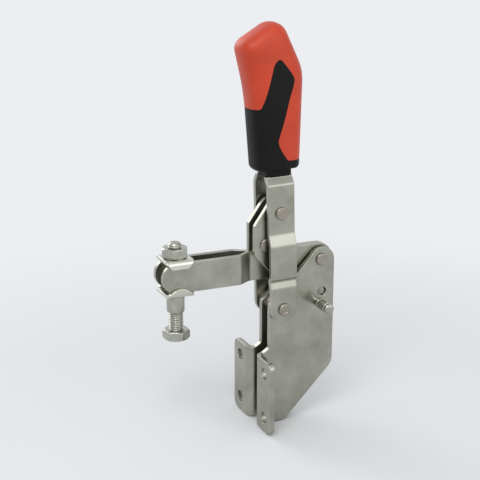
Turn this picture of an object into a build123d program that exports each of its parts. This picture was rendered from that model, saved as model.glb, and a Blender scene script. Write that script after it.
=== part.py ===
from build123d import *
import os
from math import asin, atan2, cos, hypot, radians, sin

# Vertical toggle clamp. Millimetres, +Z up, +X from the arm's tip towards the back.
# The origin is the middle of the four flange holes, on the face that is bolted down.
# The near side is towards -Y, and the far side mirrors it about Y = 0.

# Frame plates and their folded flanges
bolt_spacing_y = 32.0
bolt_spacing_z = 26.0
bolt_hole_radius = 3.3
bolt_edge_margin = 8.0
flange_corner_radius = 4.0
frame_thickness = 3.0
frame_bend_radius = 1.5
frame_boss_radius = 8.5
frame_front_x = 7.7
frame_top_corner_z = 48.2
frame_corner_radius = 4.0
frame_notch_drop = 2.5
frame_foot_length = 18.0
frame_heel_z = 9.0
frame_heel_radius = 9.0
vent_hole_radius = 2.7
vent_hole_x = 39.9
vent_hole_z = 52.8

# Pivots: the handle's from the origin, the arm's from the handle's
handle_pivot_x = 14.5
handle_pivot_z = 47.0
arm_pivot_dx = 25.0
arm_pivot_dz = 24.5
link_pivot_reach = 23.4
handle_link_reach = 54.2
handle_lean = 1.5
stop_reach = 10.2

# Rivets, bushes and fits
pivot_rivet_radius = 3.0
link_rivet_radius = 2.4
stop_rivet_radius = 3.3
stop_clearance = 0.3
rivet_fit = 0.03
running_fit = 0.05
side_play = 0.1
sweep_clearance = 0.3
rivet_head_radius = 3.6
rivet_head_height = 1.9
low_head_height = 1.1
link_rivet_collar_radius = 4.0
bush_radius = 5.6
spacer_radius = 4.5

# Arm
arm_height = 16.5
arm_thickness = 2.5
arm_bush_length = 1.2
joggle_start = 42.0
joggle_length = 7.5
rail_half_gap = 4.4
rail_reach = 94.0

# Links
link_thickness = 2.9
link_lower_radius = 8.2
link_upper_radius = 7.5
link_nose_reach = 17.0
link_nose_low = 7.0
link_nose_high = 22.4
link_nose_radius = 1.2

# Handle plates: heights are measured up the handle from its pivot
handle_half_width = 7.8
handle_thickness = 2.5
pocket_depth = 2.2
groove_depth = 1.7
ear_depth = 1.3
ear_top = 12.2
groove_bottom = 16.6
groove_top = 17.7
pocket_top = 36.6
ledge_height = 6.0
shoulder_height = 73.2
neck_height = 3.8
neck_inset = 3.2
tang_half_width = 5.5
tang_top = 120.0
tang_clearance = 0.1

# Grip: each station is its height above the grip's base, its shift forwards, its width and its depth
grip_corner_radius = 7.0
grip_crown_radius = 3.0
grip_stations = (
    (0.0, -0.6, 21.4, 20.0),
    (6.0, -0.8, 23.0, 21.4),
    (22.0, -0.3, 24.2, 22.0),
    (40.0, 0.0, 25.2, 22.0),
    (56.0, 1.4, 27.6, 22.0),
    (67.0, 2.6, 29.0, 21.2),
    (74.0, 2.2, 24.4, 18.6),
    (79.0, 1.0, 15.5, 14.6),
)
inlay_front_height = 111.3
inlay_rear_height = 83.0
inlay_tip_height = 136.4
inlay_shoulder_height = 127.3
inlay_front_foot = 11.8
inlay_front_shoulder = 5.6
inlay_rear_shoulder = 7.5
inlay_waist_height = 94.3
inlay_waist = 1.8
inlay_rear_foot = 4.5

# Clamping screw and its seat on the rails
screw_reach = 84.3
screw_radius = 4.0
screw_across_flats = 13.0
screw_head_height = 5.3
screw_drop = 35.6
screw_rise = 19.4
screw_clearance = 0.15
hex_chamfer = 0.9
nut_height = 6.5
collar_radius = 4.9
collar_length = 9.8
washer_thickness = 2.0
washer_radius = 12.0
washer_half_length = 6.7
flap_clearance = 0.3
upper_flap_drop = 5.2
upper_flap_taper = 3.1
lower_flap_rise = 4.4
fold_radius = 1.6

# Side stud
stud_x = 36.1
stud_z = 47.8
stud_radius = 2.4
stud_length = 17.0
stud_collar_radius = 3.4
stud_collar_height = 1.4
stud_groove_radius = 1.9
stud_groove_start = 4.0
stud_groove_length = 1.2
stud_tip_chamfer = 0.7

# Sizes that follow
bend_outer_radius = frame_bend_radius + frame_thickness
flange_half_width = bolt_spacing_y / 2 + bolt_edge_margin
flange_half_height = bolt_spacing_z / 2 + bolt_edge_margin
frame_inner_y = arm_thickness + arm_bush_length
frame_outer_y = frame_inner_y + frame_thickness
link_inner_y = arm_thickness + side_play
link_outer_y = link_inner_y + link_thickness
handle_inner_y = frame_outer_y + sweep_clearance
handle_outer_y = handle_inner_y + handle_thickness
pocket_inner_y = handle_inner_y + pocket_depth
groove_inner_y = pocket_inner_y - groove_depth
ear_inner_y = groove_inner_y + ear_depth
ear_outer_y = ear_inner_y + handle_thickness
neck_inner_y = handle_inner_y - neck_inset
neck_outer_y = neck_inner_y + handle_thickness
rail_outer_y = rail_half_gap + arm_thickness
flap_inner_y = rail_outer_y + flap_clearance
flap_outer_y = flap_inner_y + washer_thickness

arm_pivot_x = handle_pivot_x + arm_pivot_dx
arm_pivot_z = handle_pivot_z + arm_pivot_dz
arm_top_z = arm_pivot_z + arm_height / 2
arm_bottom_z = arm_pivot_z - arm_height / 2
link_pivot_x = arm_pivot_x - link_pivot_reach
stop_x = link_pivot_x - stop_reach
stop_z = arm_top_z + stop_rivet_radius + stop_clearance
lean = radians(handle_lean)
handle_link_x = handle_pivot_x - handle_link_reach * sin(lean)
handle_link_z = handle_pivot_z + handle_link_reach * cos(lean)
grip_base = shoulder_height + neck_height
screw_x = arm_pivot_x - screw_reach
washer_bore_radius = screw_radius + screw_clearance

# The handle is drawn in its own leaning frame, with its pivot as the origin
handle_side = Plane(
    origin=(handle_pivot_x, 0, handle_pivot_z),
    x_dir=(cos(lean), 0, sin(lean)),
    z_dir=(0, -1, 0),
)
handle_edge = Plane(
    origin=handle_side.origin,
    x_dir=(0, -1, 0),
    z_dir=(-cos(lean), 0, -sin(lean)),
)
handle_cross = Plane(origin=handle_side.origin, x_dir=handle_side.x_dir, z_dir=handle_side.y_dir)


def turned_pin(x, z, steps, low_end=0.0, dome=0.0):
    """Pin along Y through (x, z). Steps are (radius, length) from low_end upwards in Y.

    With a dome height, the first and the last step get a low rounded head.
    """
    with BuildPart() as pin:
        with BuildSketch(Plane(origin=(x, 0, z), x_dir=(1, 0, 0), z_dir=(0, 0, 1))):
            y = low_end
            for radius, length in steps:
                with Locations((radius / 2, y + length / 2)):
                    Rectangle(radius, length)
                y += length
        revolve(axis=Axis((x, 0, z), (0, 1, 0)))
        if dome:
            ends = pin.edges().filter_by(GeomType.CIRCLE).sort_by(Axis.Y)
            chamfer((ends[0], ends[-1]), length=dome * 0.45, length2=dome * 0.9)
    return pin.part


def ring(x, z, radius, bore, y_start, y_end):
    """Washer or bush along Y between two distances from the middle plane, on the near side."""
    with BuildPart() as made:
        with BuildSketch(Plane.XZ.offset(y_start)):
            with Locations((x, z)):
                Circle(radius)
                Circle(bore, mode=Mode.SUBTRACT)
        extrude(amount=y_end - y_start)
    return made.part


# Near frame plate: side plate and flange are one folded sheet
with BuildPart() as frame_plate_near:
    with BuildSketch(Plane.XY.offset(-flange_half_height)):
        with BuildLine():
            Line((0, -flange_half_width), (0, -frame_inner_y - bend_outer_radius))
            RadiusArc(
                (0, -frame_inner_y - bend_outer_radius),
                (bend_outer_radius, -frame_inner_y),
                bend_outer_radius,
            )
            Polyline(
                (bend_outer_radius, -frame_inner_y),
                (frame_foot_length, -frame_inner_y),
                (frame_foot_length, -frame_outer_y),
                (bend_outer_radius, -frame_outer_y),
            )
            RadiusArc(
                (bend_outer_radius, -frame_outer_y),
                (frame_thickness, -frame_outer_y - frame_bend_radius),
                -frame_bend_radius,
            )
            Polyline(
                (frame_thickness, -frame_outer_y - frame_bend_radius),
                (frame_thickness, -flange_half_width),
                (0, -flange_half_width),
            )
        make_face()
    extrude(amount=2 * flange_half_height)
    fillet(
        frame_plate_near.edges().filter_by(Axis.X).group_by(Axis.Y)[0],
        radius=flange_corner_radius,
    )
    corner_to_boss_x = arm_pivot_x - frame_front_x
    corner_to_boss_z = arm_pivot_z - frame_top_corner_z
    slope = atan2(corner_to_boss_z, corner_to_boss_x) + asin(
        frame_boss_radius / hypot(corner_to_boss_x, corner_to_boss_z)
    )
    boss_start = (
        arm_pivot_x - frame_boss_radius * sin(slope),
        arm_pivot_z + frame_boss_radius * cos(slope),
    )
    boss_middle = (
        arm_pivot_x + frame_boss_radius * sin(slope / 2),
        arm_pivot_z + frame_boss_radius * cos(slope / 2),
    )
    boss_end = (arm_pivot_x + frame_boss_radius, arm_pivot_z)
    with BuildSketch(Plane.XZ.offset(frame_inner_y)) as side_outline:
        with BuildLine():
            Polyline(
                boss_start,
                (frame_front_x, frame_top_corner_z),
                (frame_front_x, flange_half_height + frame_notch_drop),
                (bend_outer_radius, flange_half_height),
                (bend_outer_radius, -flange_half_height),
                (frame_foot_length, -flange_half_height),
                (arm_pivot_x + frame_boss_radius, frame_heel_z),
                boss_end,
            )
            ThreePointArc(boss_end, boss_middle, boss_start)
        make_face()
        heel = side_outline.vertices().sort_by_distance((arm_pivot_x + frame_boss_radius, frame_heel_z))
        fillet(heel[0], radius=frame_heel_radius)
        top_corner = side_outline.vertices().sort_by_distance((frame_front_x, frame_top_corner_z))
        fillet(top_corner[0], radius=frame_corner_radius)
    extrude(amount=frame_thickness)
    with BuildSketch(Plane.XZ.offset(frame_inner_y)):
        with Locations((handle_pivot_x, handle_pivot_z), (arm_pivot_x, arm_pivot_z)):
            Circle(pivot_rivet_radius + rivet_fit)
        with Locations((vent_hole_x, vent_hole_z)):
            Circle(vent_hole_radius)
        with Locations((stud_x, stud_z)):
            Circle(stud_radius + rivet_fit)
    extrude(amount=frame_thickness, mode=Mode.SUBTRACT)
    with BuildSketch(Plane.YZ):
        with Locations(
            (-bolt_spacing_y / 2, -bolt_spacing_z / 2),
            (-bolt_spacing_y / 2, bolt_spacing_z / 2),
        ):
            Circle(bolt_hole_radius)
    extrude(amount=frame_thickness, mode=Mode.SUBTRACT)

with BuildPart() as frame_plate_far:
    mirror(frame_plate_near.part, about=Plane.XZ)

# Arm: two strips, side by side at the pivot and stepped apart in front of the link
with BuildPart() as arm_rail_near:
    with BuildSketch(Plane.XY.offset(arm_bottom_z)):
        with BuildLine():
            Polyline(
                (arm_pivot_x + arm_height / 2, 0),
                (arm_pivot_x - joggle_start, 0),
                (arm_pivot_x - joggle_start - joggle_length, -rail_half_gap),
                (arm_pivot_x - rail_reach, -rail_half_gap),
                (arm_pivot_x - rail_reach, -rail_outer_y),
                (arm_pivot_x - joggle_start - joggle_length, -rail_outer_y),
                (arm_pivot_x - joggle_start, -arm_thickness),
                (arm_pivot_x + arm_height / 2, -arm_thickness),
                close=True,
            )
        make_face()
    extrude(amount=arm_height)
    with BuildSketch(Plane.XZ):
        with Locations((arm_pivot_x - (rail_reach - arm_height / 2) / 2, arm_pivot_z)):
            SlotCenterToCenter(rail_reach - arm_height / 2, arm_height)
        with Locations((arm_pivot_x, arm_pivot_z)):
            Circle(pivot_rivet_radius + running_fit, mode=Mode.SUBTRACT)
        with Locations((link_pivot_x, arm_pivot_z)):
            Circle(link_rivet_radius + rivet_fit, mode=Mode.SUBTRACT)
    extrude(amount=rail_outer_y, mode=Mode.INTERSECT)

with BuildPart() as arm_rail_far:
    mirror(arm_rail_near.part, about=Plane.XZ)

# Link plates, with a square nose that carries the stop rivet
with BuildPart() as link_plate_near:
    with BuildSketch(Plane.XZ.offset(link_inner_y)):
        with Locations((link_pivot_x, arm_pivot_z)):
            Circle(link_lower_radius)
        with Locations((handle_link_x, handle_link_z)):
            Circle(link_upper_radius)
        nose_x = link_pivot_x - link_nose_reach + link_nose_radius
        with Locations((nose_x, arm_pivot_z + link_nose_low), (nose_x, arm_pivot_z + link_nose_high)):
            Circle(link_nose_radius)
        make_hull()
        with Locations((link_pivot_x, arm_pivot_z), (handle_link_x, handle_link_z)):
            Circle(link_rivet_radius + running_fit, mode=Mode.SUBTRACT)
        with Locations((stop_x, stop_z)):
            Circle(link_rivet_radius + rivet_fit, mode=Mode.SUBTRACT)
    extrude(amount=link_thickness)

with BuildPart() as link_plate_far:
    mirror(link_plate_near.part, about=Plane.XZ)

# Handle plates: one pressed strip, seen from its edge, then trimmed to its outline
with BuildPart() as handle_plate_near:
    levels = (
        (ear_inner_y, -handle_half_width),
        (ear_inner_y, ear_top),
        (groove_inner_y, groove_bottom),
        (pocket_inner_y, groove_top),
        (pocket_inner_y, pocket_top),
        (handle_inner_y, pocket_top + ledge_height),
        (handle_inner_y, shoulder_height),
        (neck_inner_y, grip_base),
        (neck_inner_y, tang_top),
    )
    with BuildSketch(handle_edge):
        with BuildLine():
            Polyline(
                *levels,
                *[(y + handle_thickness, height) for y, height in reversed(levels)],
                close=True,
            )
        make_face()
    extrude(amount=handle_half_width, both=True)
    with BuildSketch(handle_side):
        with BuildLine():
            Polyline(
                (handle_half_width, 0),
                (handle_half_width, shoulder_height),
                (tang_half_width, grip_base),
                (tang_half_width, tang_top),
                (-tang_half_width, tang_top),
                (-tang_half_width, grip_base),
                (-handle_half_width, shoulder_height),
                (-handle_half_width, 0),
            )
            ThreePointArc((-handle_half_width, 0), (0, -handle_half_width), (handle_half_width, 0))
        make_face()
        Circle(pivot_rivet_radius + running_fit, mode=Mode.SUBTRACT)
        with Locations((0, handle_link_reach)):
            Circle(link_rivet_radius + rivet_fit, mode=Mode.SUBTRACT)
    extrude(amount=pocket_inner_y + handle_thickness, mode=Mode.INTERSECT)

with BuildPart() as handle_plate_far:
    mirror(handle_plate_near.part, about=Plane.XZ)

# Grip: one lofted form, parted along the inlay's outline and slotted for the two tangs
with BuildPart() as grip_form:
    for height, shift, width, depth in grip_stations:
        with BuildSketch(handle_cross.offset(grip_base + height)):
            with Locations((-shift, 0)):
                RectangleRounded(width, depth, grip_corner_radius)
    loft()
    fillet(grip_form.faces().sort_by(Axis.Z)[-1].edges(), radius=grip_crown_radius)
    with BuildSketch(handle_cross.offset(grip_base)):
        with Locations((0, -(neck_inner_y + neck_outer_y) / 2), (0, (neck_inner_y + neck_outer_y) / 2)):
            Rectangle(2 * (tang_half_width + tang_clearance), handle_thickness + 2 * tang_clearance)
    extrude(amount=tang_top + tang_clearance - grip_base, mode=Mode.SUBTRACT)

grip_reach = grip_stations[3][2]
with BuildSketch(handle_side) as inlay_outline:
    with BuildLine():
        Polyline(
            (-inlay_front_shoulder, inlay_shoulder_height),
            (-inlay_front_foot, inlay_front_height),
            (-grip_reach, inlay_front_height),
            (-grip_reach, grip_base - ledge_height),
            (grip_reach, grip_base - ledge_height),
            (grip_reach, inlay_rear_height),
            (inlay_rear_foot, inlay_rear_height),
        )
        ThreePointArc(
            (inlay_rear_foot, inlay_rear_height),
            (-inlay_waist / 3, (inlay_rear_height + inlay_waist_height) / 2),
            (-inlay_waist, inlay_waist_height),
        )
        Line((-inlay_waist, inlay_waist_height), (inlay_rear_shoulder, inlay_shoulder_height - 1.0))
        ThreePointArc(
            (inlay_rear_shoulder, inlay_shoulder_height - 1.0),
            (0, inlay_tip_height),
            (-inlay_front_shoulder, inlay_shoulder_height),
        )
    make_face()

with BuildPart() as grip_body:
    add(grip_form.part)
    extrude(inlay_outline.sketch, amount=grip_reach, both=True, mode=Mode.SUBTRACT)

with BuildPart() as grip_inlay:
    add(grip_form.part)
    extrude(inlay_outline.sketch, amount=grip_reach, both=True, mode=Mode.INTERSECT)

# Rivets through the frame, the arm and the links
with BuildPart() as arm_pivot_rivet:
    add(
        turned_pin(
            arm_pivot_x,
            arm_pivot_z,
            (
                (rivet_head_radius, rivet_head_height),
                (pivot_rivet_radius, 2 * frame_outer_y),
                (rivet_head_radius, rivet_head_height),
            ),
            low_end=-frame_outer_y - rivet_head_height,
            dome=rivet_head_height,
        )
    )

with BuildPart() as handle_pivot_rivet:
    add(
        turned_pin(
            handle_pivot_x,
            handle_pivot_z,
            (
                (rivet_head_radius, rivet_head_height),
                (pivot_rivet_radius, 2 * (ear_outer_y + side_play)),
                (rivet_head_radius, rivet_head_height),
            ),
            low_end=-ear_outer_y - side_play - rivet_head_height,
            dome=rivet_head_height,
        )
    )

with BuildPart() as link_arm_rivet:
    add(
        turned_pin(
            link_pivot_x,
            arm_pivot_z,
            (
                (rivet_head_radius, low_head_height),
                (link_rivet_radius, 2 * (link_outer_y + side_play)),
                (rivet_head_radius, low_head_height),
            ),
            low_end=-link_outer_y - side_play - low_head_height,
            dome=low_head_height,
        )
    )

with BuildPart() as stop_rivet:
    add(
        turned_pin(
            stop_x,
            stop_z,
            (
                (rivet_head_radius, low_head_height),
                (link_rivet_radius, link_thickness),
                (stop_rivet_radius, 2 * link_inner_y),
                (link_rivet_radius, link_thickness),
                (rivet_head_radius, low_head_height),
            ),
            low_end=-link_outer_y - low_head_height,
            dome=low_head_height,
        )
    )

# Rivet between the handle plates and the links, with a collar that spaces each plate
with BuildPart() as handle_link_rivet_near:
    with BuildSketch(Plane(origin=(handle_link_x, 0, handle_link_z), x_dir=(1, 0, 0), z_dir=(0, 0, 1))):
        with BuildLine():
            Polyline(
                (0, -link_outer_y - sweep_clearance),
                (link_rivet_collar_radius, -link_outer_y - sweep_clearance),
                (link_rivet_collar_radius, -handle_inner_y),
                (link_rivet_radius, -handle_inner_y),
                (link_rivet_radius, -handle_outer_y),
                (rivet_head_radius, -handle_outer_y),
                (rivet_head_radius * 0.85, -handle_outer_y - rivet_head_height * 0.55),
                (rivet_head_radius * 0.5, -handle_outer_y - rivet_head_height * 0.95),
                (0, -handle_outer_y - rivet_head_height),
                close=True,
            )
        make_face()
    revolve(axis=Axis((handle_link_x, 0, handle_link_z), (0, 1, 0)))

with BuildPart() as handle_link_rivet_far:
    mirror(handle_link_rivet_near.part, about=Plane.XZ)

# Bushes, spacer and washers on the two frame pivots
pivot_bore = pivot_rivet_radius + rivet_fit

with BuildPart() as arm_pivot_bush_near:
    add(ring(arm_pivot_x, arm_pivot_z, bush_radius, pivot_bore, arm_thickness + side_play, frame_inner_y))

with BuildPart() as arm_pivot_bush_far:
    mirror(arm_pivot_bush_near.part, about=Plane.XZ)

with BuildPart() as handle_pivot_spacer:
    add(ring(handle_pivot_x, handle_pivot_z, spacer_radius, pivot_bore, -frame_inner_y, frame_inner_y))

with BuildPart() as handle_pivot_washer_near:
    add(
        ring(
            handle_pivot_x,
            handle_pivot_z,
            bush_radius,
            pivot_bore,
            frame_outer_y,
            ear_inner_y - side_play,
        )
    )

with BuildPart() as handle_pivot_washer_far:
    mirror(handle_pivot_washer_near.part, about=Plane.XZ)

# Side stud: pressed into the near plate, with a collar, a ring groove and a chamfered tip
with BuildPart() as side_stud:
    with BuildSketch(Plane(origin=(stud_x, 0, stud_z), x_dir=(1, 0, 0), z_dir=(0, 0, 1))):
        with BuildLine():
            Polyline(
                (0, -frame_inner_y),
                (stud_radius, -frame_inner_y),
                (stud_radius, -frame_outer_y),
                (stud_collar_radius, -frame_outer_y),
                (stud_collar_radius, -frame_outer_y - stud_collar_height),
                (stud_radius, -frame_outer_y - stud_collar_height),
                (stud_radius, -frame_outer_y - stud_groove_start),
                (stud_groove_radius, -frame_outer_y - stud_groove_start),
                (stud_groove_radius, -frame_outer_y - stud_groove_start - stud_groove_length),
                (stud_radius, -frame_outer_y - stud_groove_start - stud_groove_length),
                (stud_radius, -frame_outer_y - stud_length + stud_tip_chamfer),
                (stud_radius - stud_tip_chamfer, -frame_outer_y - stud_length),
                (0, -frame_outer_y - stud_length),
                close=True,
            )
        make_face()
    revolve(axis=Axis((stud_x, 0, stud_z), (0, 1, 0)))

# Clamping screw, head down, with its nut, collar and two saddle washers
with BuildPart() as clamping_screw:
    head_z = arm_pivot_z - screw_drop
    with BuildSketch(Plane.XY.offset(head_z)):
        with Locations((screw_x, 0)):
            RegularPolygon(screw_across_flats / 2, 6, major_radius=False)
    extrude(amount=screw_head_height)
    chamfer(clamping_screw.faces().sort_by(Axis.Z)[0].edges(), length=hex_chamfer / 2)
    with BuildSketch(Plane.XY.offset(head_z + screw_head_height)):
        with Locations((screw_x, 0)):
            Circle(screw_radius)
    extrude(amount=screw_drop + screw_rise - screw_head_height)
    chamfer(clamping_screw.faces().sort_by(Axis.Z)[-1].edges(), length=hex_chamfer)

with BuildPart() as lock_nut:
    with BuildSketch(Plane.XY.offset(arm_top_z + washer_thickness)):
        with Locations((screw_x, 0)):
            RegularPolygon(screw_across_flats / 2, 6, major_radius=False)
            Circle(screw_radius + rivet_fit, mode=Mode.SUBTRACT)
    extrude(amount=nut_height)
    chamfer(
        lock_nut.faces().sort_by(Axis.Z)[-1].outer_wire().edges(),
        length=hex_chamfer / 2,
    )

with BuildPart() as threaded_collar:
    with BuildSketch(Plane.XY.offset(arm_bottom_z - washer_thickness - collar_length)):
        with Locations((screw_x, 0)):
            Circle(collar_radius)
            Circle(screw_radius + rivet_fit, mode=Mode.SUBTRACT)
    extrude(amount=collar_length)

with BuildPart() as upper_saddle_washer:
    with BuildSketch(Plane.XY.offset(arm_top_z)):
        with Locations((screw_x, 0)):
            Rectangle(2 * washer_half_length, 2 * flap_outer_y)
    extrude(amount=washer_thickness)
    with BuildSketch(Plane.XZ.offset(flap_inner_y), Plane.XZ.offset(-flap_outer_y)):
        with BuildLine():
            Polyline(
                (screw_x - washer_half_length, arm_top_z + washer_thickness),
                (screw_x + washer_half_length, arm_top_z + washer_thickness),
                (screw_x + washer_half_length, arm_top_z),
                (screw_x + washer_half_length - upper_flap_taper, arm_top_z - upper_flap_drop),
                (screw_x - washer_half_length + upper_flap_taper, arm_top_z - upper_flap_drop),
                (screw_x - washer_half_length, arm_top_z),
                close=True,
            )
        make_face()
    extrude(amount=washer_thickness)
    folds = upper_saddle_washer.edges().filter_by(Axis.X).group_by(Axis.Z)[-1]
    fillet(folds, radius=fold_radius)
    with Locations((screw_x, 0, arm_top_z)):
        Cylinder(washer_bore_radius, 3 * washer_thickness, mode=Mode.SUBTRACT)

with BuildPart() as lower_saddle_washer:
    lower_z = arm_bottom_z - washer_thickness
    flap_half_chord = (washer_radius**2 - flap_outer_y**2) ** 0.5
    with BuildSketch(Plane.XY.offset(lower_z)):
        with Locations((screw_x, 0)):
            Circle(washer_radius)
            Rectangle(2 * washer_radius, 2 * flap_outer_y, mode=Mode.INTERSECT)
    extrude(amount=washer_thickness)
    with BuildSketch(Plane.XZ.offset(flap_inner_y), Plane.XZ.offset(-flap_outer_y)):
        with BuildLine():
            Line((screw_x + flap_half_chord, lower_z), (screw_x - flap_half_chord, lower_z))
            ThreePointArc(
                (screw_x - flap_half_chord, lower_z),
                (screw_x, arm_bottom_z + lower_flap_rise),
                (screw_x + flap_half_chord, lower_z),
            )
        make_face()
    extrude(amount=washer_thickness)
    with Locations((screw_x, 0, arm_bottom_z)):
        Cylinder(washer_bore_radius, 3 * washer_thickness, mode=Mode.SUBTRACT)

pieces = {
    "frame_plate_near": frame_plate_near,
    "frame_plate_far": frame_plate_far,
    "arm_rail_near": arm_rail_near,
    "arm_rail_far": arm_rail_far,
    "link_plate_near": link_plate_near,
    "link_plate_far": link_plate_far,
    "handle_plate_near": handle_plate_near,
    "handle_plate_far": handle_plate_far,
    "grip_body": grip_body,
    "grip_inlay": grip_inlay,
    "arm_pivot_rivet": arm_pivot_rivet,
    "handle_pivot_rivet": handle_pivot_rivet,
    "link_arm_rivet": link_arm_rivet,
    "stop_rivet": stop_rivet,
    "handle_link_rivet_near": handle_link_rivet_near,
    "handle_link_rivet_far": handle_link_rivet_far,
    "arm_pivot_bush_near": arm_pivot_bush_near,
    "arm_pivot_bush_far": arm_pivot_bush_far,
    "handle_pivot_spacer": handle_pivot_spacer,
    "handle_pivot_washer_near": handle_pivot_washer_near,
    "handle_pivot_washer_far": handle_pivot_washer_far,
    "side_stud": side_stud,
    "clamping_screw": clamping_screw,
    "lock_nut": lock_nut,
    "threaded_collar": threaded_collar,
    "upper_saddle_washer": upper_saddle_washer,
    "lower_saddle_washer": lower_saddle_washer,
}

os.makedirs("parts", exist_ok=True)
for name, piece in pieces.items():
    piece.part.label = name
    export_step(piece.part, f"parts/{name}.step")
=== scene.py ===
"""Looks of a vertical toggle clamp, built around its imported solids.

Lengths are metres in the part's own frame: +X towards the back, +Z up, near side towards -Y.
"""

import logging
import math
from dataclasses import dataclass, field
from enum import Enum
from typing import Any

import bmesh
import bpy
from mathutils import Matrix, Vector


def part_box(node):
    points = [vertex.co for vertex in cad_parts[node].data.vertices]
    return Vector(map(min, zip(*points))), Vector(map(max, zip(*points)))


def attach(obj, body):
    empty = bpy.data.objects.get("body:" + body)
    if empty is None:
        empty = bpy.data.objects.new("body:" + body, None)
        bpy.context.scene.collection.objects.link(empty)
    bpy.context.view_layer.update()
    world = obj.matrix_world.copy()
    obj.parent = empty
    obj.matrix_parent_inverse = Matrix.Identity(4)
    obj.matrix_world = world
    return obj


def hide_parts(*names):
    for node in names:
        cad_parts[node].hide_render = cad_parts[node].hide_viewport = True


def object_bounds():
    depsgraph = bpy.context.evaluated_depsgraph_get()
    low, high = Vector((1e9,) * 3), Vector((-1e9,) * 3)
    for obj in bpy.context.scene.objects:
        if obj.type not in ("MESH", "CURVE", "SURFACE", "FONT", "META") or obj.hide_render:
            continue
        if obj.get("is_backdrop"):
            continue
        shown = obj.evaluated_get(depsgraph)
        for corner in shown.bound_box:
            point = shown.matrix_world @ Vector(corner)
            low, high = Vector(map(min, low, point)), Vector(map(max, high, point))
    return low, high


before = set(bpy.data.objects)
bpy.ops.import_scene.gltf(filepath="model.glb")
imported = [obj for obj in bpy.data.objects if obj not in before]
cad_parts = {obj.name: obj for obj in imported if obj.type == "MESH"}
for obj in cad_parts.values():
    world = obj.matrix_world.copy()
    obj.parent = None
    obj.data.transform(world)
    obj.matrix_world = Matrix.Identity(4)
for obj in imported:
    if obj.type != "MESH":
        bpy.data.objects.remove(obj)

LOG = logging.getLogger("toggle_clamp")
MM = 0.001
IMAGE_SIDE = 480


def linear(hex_colour: str) -> tuple[float, float, float, float]:
    """Turn an sRGB hex colour into a linear RGBA tuple.

    Args:
        hex_colour: Six hexadecimal digits, with or without a leading hash.

    Returns:
        Linear red, green, blue and an alpha of 1.
    """
    digits = hex_colour.lstrip("#")
    channels = [int(digits[i : i + 2], 16) / 255 for i in (0, 2, 4)]
    decoded = [c / 12.92 if c <= 0.04045 else ((c + 0.055) / 1.055) ** 2.4 for c in channels]
    return (decoded[0], decoded[1], decoded[2], 1.0)


def add_node(tree: bpy.types.NodeTree, kind: str, settings: dict[str, Any], links: dict[Any, Any]) -> Any:
    """Add one shader node with its settings and incoming links.

    Args:
        tree: The node tree that gets the node.
        kind: Blender's name for the node type.
        settings: Attribute names or socket names with their values.
        links: Input socket names or numbers with the output sockets that feed them.

    Returns:
        The new node.
    """
    node = tree.nodes.new(kind)
    for key, value in settings.items():
        if isinstance(key, int) or key in node.inputs:
            node.inputs[key].default_value = value
        else:
            setattr(node, key, value)
    for key, source in links.items():
        tree.links.new(source, node.inputs[key])
    return node


def ramp(tree: bpy.types.NodeTree, factor: Any, stops: list[tuple[float, Any]]) -> Any:
    """Add a colour ramp and return its colour output.

    Args:
        tree: The node tree.
        factor: The output socket that drives the ramp.
        stops: Pairs of position and linear colour, in rising order.

    Returns:
        The ramp's colour socket.
    """
    node = add_node(tree, "ShaderNodeValToRGB", {}, {"Fac": factor})
    elements = node.color_ramp.elements
    while len(elements) < len(stops):
        elements.new(0.5)
    for element, (position, colour) in zip(elements, stops):
        element.position = position
        element.color = colour
    return node.outputs["Color"]


def grey(level: float) -> tuple[float, float, float, float]:
    """Return an opaque grey of one linear level."""
    return (level, level, level, 1.0)


class GrainAxis(Enum):
    """Direction that a rolled or turned surface's fine lines run in."""

    ALONG_X = (0.06, 1.0, 1.0)
    ALONG_Z = (1.0, 1.0, 0.06)
    ROUND_Y = (1.0, 0.12, 1.0)


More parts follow.
